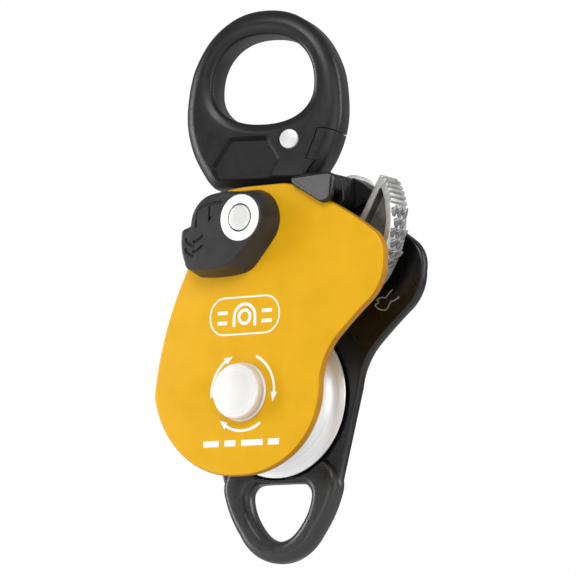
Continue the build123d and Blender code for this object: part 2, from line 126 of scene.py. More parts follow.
def vary_roughness(tree, bsdf, value, rough, below, above):
    """Roughness that wanders round its middle value."""
    tree.links.new(remap(tree, value, rough - below, rough + above), bsdf.inputs["Roughness"])


def anodised(name, dark, light, rough, metal, grain=0.05, spec=0.4):
    """Anodised or satin metal: soft patches of tone and a very fine grain."""
    m, tree, bsdf, vec = material(name, dark, rough, metal, spec=spec)
    two_tone(tree, bsdf, remap(tree, noise(tree, vec, 90.0), 0.0, 1.0), dark, light)
    vary_roughness(tree, bsdf, noise(tree, vec, 420.0), rough, 0.05, 0.06)
    bump(tree, bsdf, noise(tree, vec, 2600.0, 2.0), grain, 0.00004)
    return m


def plate_with_painted_shade(name, dark, light, rough, spec, low, high):
    """Black anodising, lighter below a height and darker above it: painted light on the lower eye and painted
    shade on the inner face under the front plate; low and high in metres.
    """
    m, tree, bsdf, vec = material(name, dark, rough, spec=spec)
    sep = tree.nodes.new("ShaderNodeSeparateXYZ")
    tree.links.new(vec, sep.inputs["Vector"])
    # 1 below low and 0 above high: painted light below, painted shade above
    painted_light_below = remap(tree, sep.outputs["Z"], 1.0, 0.0, low, high)
    speckle = remap(tree, noise(tree, vec, 420.0), 0.93, 1.0)
    product = tree.nodes.new("ShaderNodeMath")
    product.operation = "MULTIPLY"
    tree.links.new(painted_light_below, product.inputs[0])
    tree.links.new(speckle, product.inputs[1])
    two_tone(tree, bsdf, product.outputs["Value"], dark, light)
    vary_roughness(tree, bsdf, noise(tree, vec, 420.0), rough, 0.05, 0.06)
    bump(tree, bsdf, noise(tree, vec, 2600.0, 2.0), 0.025, 0.00003)
    return m


def moulded(name, dark, light, rough, grain=0.16):
    """Moulded plastic, rubber or ink with a fine pebbled grain."""
    m, tree, bsdf, vec = material(name, dark, rough, spec=0.42)
    two_tone(tree, bsdf, remap(tree, noise(tree, vec, 160.0), 0.0, 1.0), dark, light)
    vary_roughness(tree, bsdf, noise(tree, vec, 700.0), rough, 0.05, 0.07)
    bump(tree, bsdf, noise(tree, vec, 3400.0, 3.0), grain, 0.00005)
    return m


def turned(name, colour, rough, grain=0.25, metal=1.0):
    """Metal turned about the sheave axis: fine rings by distance from the axis."""
    m, tree, bsdf, vec = material(name, colour, rough, metal)
    sep = tree.nodes.new("ShaderNodeSeparateXYZ")
    tree.links.new(vec, sep.inputs["Vector"])
    flat = tree.nodes.new("ShaderNodeCombineXYZ")
    tree.links.new(sep.outputs["X"], flat.inputs["X"])
    tree.links.new(sep.outputs["Z"], flat.inputs["Y"])
    dist = tree.nodes.new("ShaderNodeVectorMath")
    dist.operation = "LENGTH"
    tree.links.new(flat.outputs["Vector"], dist.inputs[0])
    line = tree.nodes.new("ShaderNodeCombineXYZ")
    tree.links.new(dist.outputs["Value"], line.inputs["X"])
    tree.links.new(sep.outputs["Y"], line.inputs["Y"])
    rings = noise(tree, line.outputs["Vector"], 2600.0, 3.0)
    vary_roughness(tree, bsdf, rings, rough, 0.08, 0.1)
    two_tone(tree, bsdf, remap(tree, rings, 0.0, 1.0), tuple(c * 0.88 for c in colour), colour)
    bump(tree, bsdf, rings, grain, 0.00003)
    return m


def cast(name, dark, light, rough):
    """Cast steel with a coarse skin."""
    m, tree, bsdf, vec = material(name, dark, rough, 0.85)
    two_tone(tree, bsdf, remap(tree, noise(tree, vec, 260.0, 6.0), 0.0, 1.0), dark, light)
    vary_roughness(tree, bsdf, noise(tree, vec, 900.0), rough, 0.06, 0.1)
    bump(tree, bsdf, noise(tree, vec, 1500.0, 5.0), 0.35, 0.00008)
    return m


M_ORANGE = anodised("orange_anodised", (0.685, 0.362, 0.003), (0.74, 0.395, 0.005),
                    0.42, 0.12, spec=0.2)
# darker orange for the plate's rim faces: painted shade on its edges
M_RIM_SHADE = anodised("orange_rim_painted_shade", (0.40, 0.175, 0.003), (0.47, 0.21, 0.005), 0.46, 0.1, spec=0.2)
M_BLACK = anodised("black_anodised", (0.0026, 0.0025, 0.0025), (0.004, 0.0038, 0.0038),
                   0.36, 0.0, spec=0.2)
# painted shade: dark on the inner face above the waist, painted lighter on the lower eye
M_PLATE = plate_with_painted_shade("black_plate", (0.0026, 0.0025, 0.0025), (0.026, 0.0255, 0.0257),
                     0.30, 0.5, -0.029, -0.0235)
M_FORGED = anodised("forged_black", (0.0060, 0.0060, 0.0062), (0.0105, 0.0105, 0.0107),
                    0.34, 0.0, 0.14, spec=0.4)
M_PLASTIC = moulded("black_plastic", (0.019, 0.019, 0.0195), (0.028, 0.028, 0.0285), 0.36)
M_PAD = moulded("grey_plastic", (0.088, 0.087, 0.088), (0.108, 0.106, 0.107), 0.5)
# near-black for the floors of the lever's engraving: painted shade in the grooves
M_GROOVE_SHADE = moulded("groove_painted_shade", (0.0015, 0.0015, 0.0015), (0.003, 0.003, 0.003), 0.7)
M_ALU = turned("turned_aluminium", (0.92, 0.92, 0.93), 0.32, 0.14, metal=0.6)
M_BRIGHT = turned("bright_aluminium", (0.87, 0.86, 0.85), 0.40, 0.1, metal=0.4)
M_GLOSSY = moulded("shiny_black_plastic", (0.005, 0.005, 0.005), (0.009, 0.009, 0.009), 0.26, 0.06)
M_SATIN = anodised("satin_aluminium", (0.74, 0.74, 0.73), (0.80, 0.80, 0.79), 0.38, 0.4)
M_RING = anodised("white_aluminium", (0.90, 0.90, 0.90), (0.95, 0.95, 0.95), 0.42, 0.2)
M_STEEL = anodised("satin_steel", (0.62, 0.62, 0.63), (0.70, 0.70, 0.71), 0.30, 1.0)
M_CAST = cast("cast_steel", (0.50, 0.50, 0.49), (0.72, 0.72, 0.71), 0.36)
# darker steel for the faces inside the cam's windows: painted shade in the pocket
M_POCKET_SHADE = cast("pocket_painted_shade", (0.13, 0.13, 0.13), (0.24, 0.24, 0.24), 0.42)
M_TOOTH = cast("ground_steel", (0.15, 0.15, 0.15), (0.30, 0.30, 0.30), 0.26)
M_RUBBER = moulded("seal_rubber", (0.012, 0.012, 0.012), (0.02, 0.02, 0.02), 0.55)
M_WHITE = moulded("printed_white", (0.84, 0.83, 0.80), (0.90, 0.89, 0.86), 0.5, 0.03)
M_GREYLINE = moulded("printed_grey", (0.30, 0.31, 0.27), (0.38, 0.39, 0.35), 0.5, 0.03)


# ------------------------------------------------------------------ mesh helpers (all in mm until finished)
def fillet(points, default=0.0, steps=7):
    """Closed outline of points (x, z[, r]) with every corner rounded by its radius."""
    out = []
    n = len(points)
    for i, point in enumerate(points):
        p = np.array(point[:2], float)
        r = point[2] if len(point) > 2 else default
        a = np.array(points[i - 1][:2], float) - p
        b = np.array(points[(i + 1) % n][:2], float) - p
        la, lb = np.linalg.norm(a), np.linalg.norm(b)
        a, b = a / la, b / lb
        half = math.acos(max(-1.0, min(1.0, float(a @ b)))) / 2
        if r <= 0 or half > math.pi / 2 - 0.01:
            out.append(tuple(p))
            continue
        cut = min(r / math.tan(half), 0.49 * la, 0.49 * lb)
        r = cut * math.tan(half)
        centre = p + (a + b) / np.linalg.norm(a + b) * (r / math.sin(half))
        u, v = p + a * cut - centre, p + b * cut - centre
        sweep = math.atan2(u[0] * v[1] - u[1] * v[0], float(u @ v))
        for k in range(steps + 1):
            t = sweep * k / steps
            c, s = math.cos(t), math.sin(t)
            out.append(tuple(centre + (u[0] * c - u[1] * s, u[0] * s + u[1] * c)))
    return out


def arc(a, m, b, steps=14):
    """Points along the arc from a through m to b, b left out."""
    a, m, b = (np.array(p, float) for p in (a, m, b))
    mat = 2 * np.array([m - a, b - a])
    c = np.linalg.solve(mat, np.array([m @ m - a @ a, b @ b - a @ a]))
    t0, t1, t2 = (math.atan2(*(p - c)[::-1]) for p in (a, m, b))
    ccw = (t1 - t0) % (2 * math.pi) < (t2 - t0) % (2 * math.pi)
    sweep = (t2 - t0) % (2 * math.pi) if ccw else -((t0 - t2) % (2 * math.pi))
    r = np.linalg.norm(a - c)
    return [tuple(c + r * np.array([math.cos(t0 + sweep * k / steps), math.sin(t0 + sweep * k / steps)]))
            for k in range(steps)]


def polar(r, deg, centre=(0.0, 0.0)):
    """Point (x, z) at a distance and an angle in degrees from a centre."""
    return (centre[0] + r * math.cos(math.radians(deg)), centre[1] + r * math.sin(math.radians(deg)))


def circle(x, z, r, steps=64):
    """Points round a circle about (x, z)."""
    return [(x + r * math.cos(2 * math.pi * k / steps), z + r * math.sin(2 * math.pi * k / steps))
            for k in range(steps)]


def catmull_rom(a, b, c, d, steps):
    """Points of the smooth curve from b towards c, c left out."""
    return [tuple(0.5 * (2 * b + (c - a) * t + (2 * a - 5 * b + 4 * c - d) * t ** 2
                         + (3 * b - a - 3 * c + d) * t ** 3))
            for t in (i / steps for i in range(steps))]


def closed_line(points, steps=10):
    """Smooth closed line through points."""
    p = [np.array(q, float) for q in points]
    n, out = len(p), []
    for k in range(n):
        out += catmull_rom(p[k - 1], p[k], p[(k + 1) % n], p[(k + 2) % n], steps)
    return out


def curve_line(*points, steps=8):
    """Smooth open line through points."""
    p = [np.array(q, float) for q in (points[0], *points, points[-1])]
    out = []
    for k in range(1, len(p) - 2):
        out += catmull_rom(p[k - 1], p[k], p[k + 1], p[k + 2], steps)
    return out + [tuple(p[-1])]


def mirrored(points):
    """The same points with x turned round, in the opposite order."""
    return [(-x, z) for x, z in reversed(points)]


def finish_mesh(obj, angle=32.0):
    """Smooth shading with sharp edges above an angle, normals outwards."""
    bm = bmesh.new()
    bm.from_mesh(obj.data)
    bmesh.ops.recalc_face_normals(bm, faces=bm.faces)
    bm.to_mesh(obj.data)
    bm.free()
    obj.data.shade_smooth()
    obj.data.set_sharp_from_angle(angle=math.radians(angle))
    return obj


def from_lists(name, verts, faces):
    """Mesh object from points in mm and faces."""
    mesh = bpy.data.meshes.new(name)
    mesh.from_pydata([tuple(c * MM for c in v) for v in verts], [], faces)
    mesh.validate()
    obj = bpy.data.objects.new(name, mesh)
    SCENE.collection.objects.link(obj)
    return obj


def evaluated(obj):
    """Turns an object's modifiers or curve into a plain mesh object of the same name."""
    bpy.context.view_layer.update()
    dg = bpy.context.evaluated_depsgraph_get()
    mesh = bpy.data.meshes.new_from_object(obj.evaluated_get(dg))
    name = obj.name
    if obj.type == "MESH":
        obj.modifiers.clear()
        obj.data = mesh
        return obj
    matrix = obj.matrix_world.copy()
    bpy.data.objects.remove(obj)
    made = bpy.data.objects.new(name, mesh)
    SCENE.collection.objects.link(made)
    made.data.transform(matrix)
    return made


def slab(name, outline, y0, y1, round_r, holes=(), segs=5):
    """Plate between depths y0 (front) and y1 with rounded rims, holes included."""
    curve = bpy.data.curves.new(name, "CURVE")
    curve.dimensions = "2D"
    curve.fill_mode = "BOTH"
    for loop in (outline, *holes):
        spline = curve.splines.new("POLY")
        spline.points.add(len(loop) - 1)
        for point, (x, z) in zip(spline.points, loop):
            point.co = (x * MM, z * MM, 0.0, 1.0)
        spline.use_cyclic_u = True
    curve.extrude = ((y1 - y0) / 2 - round_r) * MM
    curve.bevel_depth = round_r * MM
    curve.bevel_resolution = segs
    curve.offset = -round_r * MM
    obj = bpy.data.objects.new(name, curve)
    SCENE.collection.objects.link(obj)
    obj.rotation_euler = (math.pi / 2, 0, 0)
    obj.location = (0, (y0 + y1) / 2 * MM, 0)
    made = evaluated(obj)
    merge(made)
    return finish_mesh(made)


def merge(obj, dist=0.002):
    """Joins points nearer than a distance in mm."""
    bm = bmesh.new()
    bm.from_mesh(obj.data)
    bmesh.ops.remove_doubles(bm, verts=bm.verts, dist=dist * MM)
    bm.to_mesh(obj.data)
    bm.free()


def lathe(name, profile, centre=(0.0, 0.0), steps=128, angle=32.0):
    """Solid of revolution about Y through (x, z); profile is a closed list of (y, r)."""
    verts, faces, n = [], [], len(profile)
    for k in range(steps):
        t = 2 * math.pi * k / steps
        for y, r in profile:
            verts.append((centre[0] + r * math.cos(t), y, centre[1] + r * math.sin(t)))
    for k in range(steps):
        j = (k + 1) % steps
        for i in range(n):
            m = (i + 1) % n
            if profile[i][1] == 0 and profile[m][1] == 0:
                continue
            faces.append((k * n + i, k * n + m, j * n + m, j * n + i))
    obj = from_lists(name, verts, faces)
    merge(obj)
    return finish_mesh(obj, angle)


def loft(name, rings, angle=32.0):
    """Solid through rings of (outline, y), all with the same number of points, capped at both ends."""
    n = len(rings[0][0])
    verts = []
    for outline, depth in rings:
        depths = depth if isinstance(depth, (list, tuple)) else [depth] * n
        verts += [(x, y, z) for (x, z), y in zip(outline, depths)]
    faces = []
    for k in range(len(rings) - 1):
        for i in range(n):
            j = (i + 1) % n
            faces.append((k * n + i, k * n + j, (k + 1) * n + j, (k + 1) * n + i))
    faces.append(tuple(range(n)))
    last = (len(rings) - 1) * n
    faces.append(tuple(last + i for i in reversed(range(n))))
    obj = from_lists(name, verts, faces)
    merge(obj)
    return finish_mesh(obj, angle)


def offset(outline, dist):
    """Outline moved inwards (dist > 0) along its point normals; counter-clockwise or not."""
    p = np.array(outline)
    area = np.sum(p[:, 0] * np.roll(p[:, 1], -1) - np.roll(p[:, 0], -1) * p[:, 1])
    t = np.roll(p, -1, 0) - np.roll(p, 1, 0)
    t /= np.maximum(np.linalg.norm(t, axis=1, keepdims=True), 1e-9)
    normal = np.c_[-t[:, 1], t[:, 0]] * (1 if area > 0 else -1)
    return [tuple(q) for q in p + normal * dist]


def carve(obj, *cutters, angle=32.0, operation="DIFFERENCE"):
    """Boolean by each cutter in turn; cutters are removed."""
    for cutter in cutters:
        mod = obj.modifiers.new("cut", "BOOLEAN")
        mod.operation, mod.solver, mod.object = operation, "EXACT", cutter
        evaluated(obj)
        bpy.data.objects.remove(cutter)
    merge(obj, 0.001)
    return finish_mesh(obj, angle)


def stroke(name, points, y0, y1, width, closed=False):
    """Flat band of even width along a line of (x, z), between two depths."""
    p = [np.array(q, float) for q in points]
    n = len(p)
    left, right_side = [], []
    for i, q in enumerate(p):
        a = p[i - 1] if i > 0 or closed else q
        b = p[(i + 1) % n] if i < n - 1 or closed else q
        t = (b - a) / max(np.linalg.norm(b - a), 1e-9)
        normal = np.array([-t[1], t[0]]) * width / 2
        left.append(q + normal)
        right_side.append(q - normal)
    verts, faces = [], []
    for y in (y0, y1):
        for side in (left, right_side):
            verts += [(q[0], y, q[1]) for q in side]
    for i in range(n if closed else n - 1):
        j = (i + 1) % n
        faces += [(i, j, n + j, n + i), (2 * n + i, 3 * n + i, 3 * n + j, 2 * n + j),
                  (i, 2 * n + i, 2 * n + j, j), (n + i, n + j, 3 * n + j, 3 * n + i)]
    if not closed:
        faces += [(0, n, 3 * n, 2 * n), (n - 1, 3 * n - 1, 4 * n - 1, 2 * n - 1)]
    return finish_mesh(from_lists(name, verts, faces))


def prism(name, outline, y0, y1):
    """Straight-sided block between two depths."""
    return loft(name, [(outline, y0), (outline, y1)])


def join(name, parts):
    """One object out of several meshes."""
    bm = bmesh.new()
    for part in parts:
        part.data.transform(part.matrix_world)
        bm.from_mesh(part.data)
        bpy.data.objects.remove(part)
    mesh = bpy.data.meshes.new(name)
    bm.to_mesh(mesh)
    bm.free()
    obj = bpy.data.objects.new(name, mesh)
    SCENE.collection.objects.link(obj)
    return finish_mesh(obj)


def radial(points, angles, centre):
    """Distance from a centre to a closed outline, along each angle."""
    p = np.array(points) - centre
    q = np.roll(p, -1, 0)
    out = []
    for t in angles:
        d = np.array((math.cos(t), math.sin(t)))
        cross_p = p[:, 0] * d[1] - p[:, 1] * d[0]
        cross_q = q[:, 0] * d[1] - q[:, 1] * d[0]
        hit = (cross_p * cross_q <= 0) & (cross_p != cross_q)
        s = cross_p[hit] / (cross_p[hit] - cross_q[hit])
        at = p[hit] + (q[hit] - p[hit]) * s[:, None]
        out.append(float((at @ d).max()))
    return np.array(out)


def inside(loop, x, z):
    """Whether a point lies in a closed outline."""
    nxt = np.roll(loop, -1, 0)
    spans = (loop[:, 1] > z) != (nxt[:, 1] > z)
    rise = np.where(spans, nxt[:, 1] - loop[:, 1], 1.0)
    across = loop[:, 0] + (z - loop[:, 1]) * (nxt[:, 0] - loop[:, 0]) / rise
    return bool(np.sum(spans & (across > x)) % 2)


def annulus(name, verts, cols, angle=40.0):
    """Closed ring from the points of its equal sections."""
    n = len(verts) // cols
    faces = []
    for k in range(cols):
        here, there = k * n, (k + 1) % cols * n
        faces += [(here + i, here + (i + 1) % n, there + (i + 1) % n, there + i) for i in range(n)]
    return finish_mesh(from_lists(name, verts, faces), angle)


def dress(obj, mat, body, slot_name, *nodes):
    """Gives a piece its material and body and hides the CAD nodes it stands for; slot_name is not used."""
    obj.data.materials.clear()
    obj.data.materials.append(mat)
    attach(obj, body)
    if nodes:
        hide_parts(*nodes)


# ------------------------------------------------------------------ side plates
INNER_F, FRONT, INNER_B, BACK = -9.2, -12.4, 9.2, 12.7
LEVER, CAM_AXLE, LOCK_AXLE, RIVETS = (2.7, 53.5), (16, 36), (26, 60), ((-11, 50), (7, 50))
COLS = 240                      # sections round each eye
SLOT_R, SLOT_HALF, STUD_A, SLOT_SWEEP = 55.0, 3.2, 103.0, 24
RIM_NORMAL = 0.62               # faces turned further than this from the plate's face are its rim


def upper_outline():
    """Left, top and right of both plates, from the lower left round to the right waist."""
    pts = arc((-34.7, 0), (-31.2, 19.5), (-24.3, 37.6), 16)
    pts += [(-24.3, 37.6)]
    pts += arc((-17.5, 54.0), (-14.0, 60.2), (-8.0, 64.2), 8)
    pts += arc((-8.0, 64.2), (-4.0, 64.65), (0, 64.8), 5)
    pts += [(0, 64.8), (13.0, 64.8)]
    pts += arc((15.4, 64.5), (33.0, 56.8), (48.0, 47.4), 22)
    pts += arc((48.0, 47.4), (51.0, 43.4), (51.6, 38.0), 10)
    pts += arc((51.6, 38.0), (50.4, 31.4), (46.0, 25.8), 10)
    pts += arc((46.0, 25.8), (40.6, 21.1), (35.8, 16.6), 4)
    pts += arc((35.8, 16.6), (31.2, 10.6), (28.8, 2.5), 12)
    return pts


front_outline = upper_outline()
front_outline += arc((28.8, 2.5), (26.2, -10.7), (16.4, -21.3), 14)
front_outline += arc((16.4, -21.3), (8.0, -24.9), (-1.0, -25.9), 12)
front_outline += arc((-1.0, -25.9), (-24.6, -17.6), (-34.7, 0), 26)
# slot for the support stud, open at the plate's upper left rim; the lever covers it at rest
slot_loop = [polar(SLOT_R - SLOT_HALF, STUD_A + SLOT_SWEEP * k / 10) for k in range(11)]
slot_loop += [polar(SLOT_R + SLOT_HALF, STUD_A + SLOT_SWEEP * k / 10) for k in range(10, -1, -1)]
slot_loop += [polar(SLOT_HALF, STUD_A - t, polar(SLOT_R, STUD_A)) for t in range(15, 180, 15)]
front_plate = slab("front_plate_skin", front_outline, FRONT, INNER_F, 0.9,
                   holes=[circle(0, 0, 5.06, 48), circle(*LEVER, 3.2, 40)])
carve(front_plate, prism("slot_cut", slot_loop, FRONT - 1, INNER_F + 1))
dress(front_plate, M_ORANGE, "opening_plate", "orange_anodised", "front_plate")
front_plate.data.materials.append(M_RIM_SHADE)
# rim faces take the darker orange: painted shade on the plate's edges
for face in front_plate.data.polygons:
    if abs(face.normal.y) < RIM_NORMAL:
        face.material_index = 1

back_outline = upper_outline()
back_outline += [(28.8, 2.5), (22.2, -27.0)]
back_outline += arc((21.6, -29.6), (19.6, -35.2), (15.3, -42.8), 8)
back_outline += arc((15.3, -42.8), (0, -51.6), (-15.3, -42.8), 28)
back_outline += arc((-15.3, -42.8), (-19.6, -35.2), (-21.6, -29.6), 8)
back_outline += arc((-21.6, -29.6), (-22.4, -26.6), (-24.8, -17.4), 5)
back_outline += arc((-24.8, -17.4), (-32.2, -9.5), (-34.7, 0), 14)
half_hole = [(5.6, -26.65), (9.4, -27.1), (11.5, -29.1), (11.7, -32.0), (10.3, -36.2), (7.5, -40.4),
             (4.2, -43.4)]
eye_hole = closed_line([(0.0, -26.6), *half_hole, (0.0, -44.6), *mirrored(half_hole)])
pin_holes = [circle(0, 0, 8.0, 64), circle(*CAM_AXLE, 3.0, 40), circle(*LOCK_AXLE, 2.0, 32)]
pin_holes += [circle(*rivet, 2.0, 32) for rivet in RIVETS]


def inner_line(outline, inset):
    """Outline drawn in by an amount that grows below the waist, so the lower eye covers it there."""
    drawn = offset(outline, inset)
    out = []
    for p, q in zip(outline, drawn):
        w = min(1.0, max(0.0, (-p[1] - 26.5) / 3.0))
        out.append(tuple(np.array(p) * (1 - w) + np.array(q) * w))
    return out


back_plate = slab("back_plate_skin", inner_line(back_outline, 1.6), INNER_B, BACK, 1.1,
                  holes=[*pin_holes, offset(eye_hole, -1.0)])
low_outline = arc((17.0, -19.2), (21.4, -23.6), (22.1, -29.0), 10)
low_outline += arc((22.1, -29.0), (19.9, -35.2), (15.3, -42.8), 10)
low_outline += arc((15.3, -42.8), (0, -51.6), (-15.3, -42.8), 36)
low_outline += arc((-15.3, -42.8), (-19.9, -35.2), (-22.1, -29.0), 10)
low_outline += arc((-22.1, -29.0), (-21.4, -23.6), (-17.0, -19.2), 10)
low_outline += arc((-17.0, -19.2), (0, -25.55), (17.0, -19.2), 30)
LOW_HUB, LOW_FRONT, LOW_BACK = np.array((0.0, -35.0)), 7.3, BACK - 0.05
FRONT_ROUND, BACK_ROUND = 3.1, 0.9
low_angles = [2 * math.pi * k / COLS for k in range(COLS)]
low_out, low_in = radial(low_outline, low_angles, LOW_HUB), radial(eye_hole, low_angles, LOW_HUB)
corner = [math.radians(15 * k) for k in range(7)]
low_verts = []
for t, r1, r0 in zip(low_angles, low_out, low_in):
    span = r1 - r0
    q, b = min(FRONT_ROUND, 0.47 * span), min(BACK_ROUND, 0.3 * span)
    line = [(r1 - q * (1 - math.cos(a)), LOW_FRONT + q * (1 - math.sin(a))) for a in corner]
    line += [(r0 + q * (1 - math.sin(a)), LOW_FRONT + q * (1 - math.cos(a))) for a in corner]
    line += [(r0 + b * (1 - math.cos(a)), LOW_BACK - b * (1 - math.sin(a))) for a in corner]
    line += [(r1 - b * (1 - math.sin(a)), LOW_BACK - b * (1 - math.cos(a))) for a in corner]
    low_verts += [(LOW_HUB[0] + r * math.cos(t), y, LOW_HUB[1] + r * math.sin(t)) for r, y in line]
carve(back_plate, annulus("low_eye", low_verts, COLS), operation="UNION")
dress(back_plate, M_PLATE, "frame", "black_anodised", "back_plate")

# ------------------------------------------------------------------ swivel eye
EYE_TURN, SWIVEL_X = math.radians(14.0), -2.0
TURN = Matrix.Translation((SWIVEL_X * MM, 0, 0)) @ Matrix.Rotation(EYE_TURN, 4, "Z")
HUB = np.array((0.0, 97.4))
FULL_WIDTH = 8.2                # a ring narrower than this has its rounding scaled down
EYE_PIN = (9.8, 80.4)
KEEPER_GAP = 0.16
THROUGH = 9                     # depth past both faces of the eye

half_rim = [(9.8, 120.8), (18.4, 114.3), (24.1, 104.4), (26.1, 94.0), (25.9, 85.0), (23.4, 76.6),
            (19.2, 69.4), (16.8, 66.6), (15.0, 65.7), (8.0, 65.6)]
eye_rim = closed_line([(0.0, 122.7), *half_rim, (0.0, 65.6), *mirrored(half_rim)])


def squircle(half, low, high, centre, power=2.25, steps=160):
    """Rounded opening, flatter than an ellipse, with its own height above and below the centre."""
    pts = []
    for k in range(steps):
        c, t = math.cos(2 * math.pi * k / steps), math.sin(2 * math.pi * k / steps)
        pts.append((math.copysign(abs(c) ** (2 / power), c) * half,
                    centre + math.copysign(abs(t) ** (2 / power), t) * (high if t > 0 else low)))
    return pts


eye_bore = squircle(17.0, 12.2, 16.6, 98.0)
angles = [2 * math.pi * k / COLS - math.pi / 2 for k in range(COLS)]
r_out, r_in = radial(eye_rim, angles, HUB), radial(eye_bore, angles, HUB)


def eye_section(width, low):
    """Cross-section of the ring from rim to bore: (distance from the rim, half thickness).

    The face is thicker by low, which is 1 at the base of the eye and 0 in its upper half.
    """
    face = 6.2 + 0.5 * low
    outer = [(0.0, 3.2), (0.35, 4.1), (0.9, 4.75), (1.9, 5.35), (3.1, face - 0.25), (4.1, face - 0.04)]
    inner = [(0.0, 4.3), (0.25, 4.95), (0.8, 5.5), (1.6, 5.82), (2.6, face - 0.12), (3.4, face)]
    return outer + [(width - s, h) for s, h in reversed(inner)]


verts = []
for k, t in enumerate(angles):
    width = r_out[k] - r_in[k]
    section = eye_section(width, max(0.0, -math.sin(t)) ** 2)
    fit = min(1.0, width / FULL_WIDTH)
    line = []
    for i, (s, h) in enumerate(section):
        s = s * fit if i < len(section) // 2 else width - (width - s) * fit
        line.append((r_out[k] - s, h))
    section_loop = [(r, -h) for r, h in line] + [(r, h) for r, h in reversed(line)]
    verts += [(HUB[0] + r * math.cos(t), y, HUB[1] + r * math.sin(t)) for r, y in section_loop]
eye = annulus("swivel_eye_skin", verts, COLS)

hexagon = fillet([(-10.4, 81.6, 1.6), (2.4, 81.6, 1.6), (6.8, 74.6, 1.6), (3.2, 67.6, 1.6),
                  (-14.6, 67.6, 1.6), (-16.6, 72.0, 1.6)], steps=5)
carve(eye, loft("hex_cut", [(offset(hexagon, -1.6), -8.2), (offset(hexagon, 1.1), -5.25)]), angle=30.0)
keep_zone = [(19.2, 83.6), (17.6, 79.0), (15.6, 74.0), (18.6, 73.4), (15.9, 69.8), (16.6, 66.6),
             (16.8, 60.0), (40.0, 60.0), (40.0, 75.0)] + arc((30.0, 79.2), (25.2, 82.5), (19.2, 83.6), 10)
keeper = bpy.data.objects.new("eye_keeper_skin", eye.data.copy())
SCENE.collection.objects.link(keeper)
carve(keeper, prism("keep_in", offset(keep_zone, KEEPER_GAP), -THROUGH, THROUGH),
      operation="INTERSECT", angle=40.0)
carve(eye, prism("keep_out", offset(keep_zone, -KEEPER_GAP), -THROUGH, THROUGH), angle=40.0)
pin_bore = [(-THROUGH, 0), (THROUGH, 0), (THROUGH, 3.35), (-THROUGH, 3.35)]
carve(eye, lathe("pin_bore", pin_bore, EYE_PIN, 48), angle=40.0)
cross_pin = lathe("eye_pin_skin", [(-6.9, 0), (-6.9, 2.6), (-6.75, 2.95), (-6.45, 3.15), (6.45, 3.15),
                                   (6.75, 2.95), (6.9, 2.6), (6.9, 0)], EYE_PIN, 64)
for piece in (eye, keeper, cross_pin):
    piece.data.transform(TURN)
dress(eye, M_FORGED, "eye", "black_anodised", "swivel_eye")
dress(keeper, M_FORGED, "eye", "black_anodised", "eye_keeper")
dress(cross_pin, M_SATIN, "eye", "steel", "eye_cross_pin")

# ------------------------------------------------------------------ sheave and axle
# rim of one flange, then the rope groove: (depth, radius)
groove = [(6.0, 14.0), (6.9, 21.0), (8.0, 23.3), (8.0, 24.5), (7.85, 24.85), (7.5, 25.0)]
profile = groove + arc((7.2, 24.9), (0.0, 19.0), (-7.2, 24.9), 24) + mirrored(groove)
dress(lathe("sheave_skin", profile, steps=192), M_ALU, "sheave", "machined_aluminium", "sheave")

head = [(-16.5, 0.0), (-16.5, 7.9), (-16.36, 8.35), (-16.05, 8.6), (-15.6, 8.7), (-14.3, 8.7),
        (-14.05, 8.6), (-13.95, 8.2), (-13.9, 7.7), (-13.5, 7.6), (-13.3, 7.6), (-13.3, 5.0),
        (11.3, 5.0), (11.3, 4.0), (12.4, 4.0), (12.4, 0.0)]
dress(lathe("axle_skin", head), M_BRIGHT, "frame", "bright_aluminium", "sheave_axle")
washer = [(-13.3, 5.0), (-13.3, 8.9), (-13.15, 9.1), (-12.9, 9.2), (-12.6, 9.2), (-12.45, 9.1),
          (-12.45, 5.0)]
dress(lathe("axle_washer_skin", washer), M_BRIGHT, "frame", "bright_aluminium", "axle_washer")

# ------------------------------------------------------------------ lock lever
LEVER_BASE, LEVER_RIM, FACE = -12.45, -19.1, -19.9
LEVER_STEP = 7.4                # depth from the base to where the outline would be the face's
RIM_ROUND = 0.8
FACET_FOOT, FACET_RISE, FACET_WIDTH = -18.3, 1.6, 2.9
# depths of the near-black sheet at the groove floors: painted shade
SHADE_FLOOR, SHADE_TOP = FACE + 0.30, FACE + 0.44


def lever_ring(t):
    """Outline of the lever from its base (t 0) to its face (t 1)."""
    boss = 9.9 - 2.0 * t
    drop = 1.6 * t
    corner_x, neck_x = -16.6 + 0.3 * t, -1.0 - 3.0 * t
    pts = arc((-18.9 + 0.3 * t, 39.2 + drop), (-18.2 + 0.3 * t, 37.6 + drop), (corner_x, 37.0 + drop), 5)
    pts += arc((corner_x, 37.0 + drop), (-8.0, 36.6 + drop), (neck_x, 37.2 + drop), 8)
    pts += arc((neck_x, 37.2 + drop), (2.6 - 3.0 * t, 38.6 + drop), (5.2 - 2.9 * t, 41.2 + drop), 7)
    start, end = math.radians(-38), math.radians(92)
    pts += [(LEVER[0] + boss * math.cos(start + (end - start) * k / 26),
             LEVER[1] + boss * math.sin(start + (end - start) * k / 26)) for k in range(27)]
    pts += [(-4.0, 62.9 - 0.4 * t), (-8.0, 62.7 - 0.5 * t)]
    pts += arc((-10.0, 62.4 - 0.5 * t), (-14.6, 60.0 - 0.5 * t), (-17.2 + 0.2 * t, 55.6), 8)
    pts += [(-17.3 + 0.2 * t, 55.4), (-17.6 + 0.2 * t, 52.4)]
    pts += arc((-18.2, 51.9), (-19.6, 51.3), (-20.2, 49.6), 5)
    pts += arc((-20.2, 49.6), (-19.9, 44.6), (-18.9 + 0.3 * t, 39.2 + drop), 8)
    return pts


rings = [(lever_ring(t), LEVER_BASE - LEVER_STEP * t) for t in (0.0, 0.1, 0.3, 0.5, 0.7)]
base_face = lever_ring(0.96)
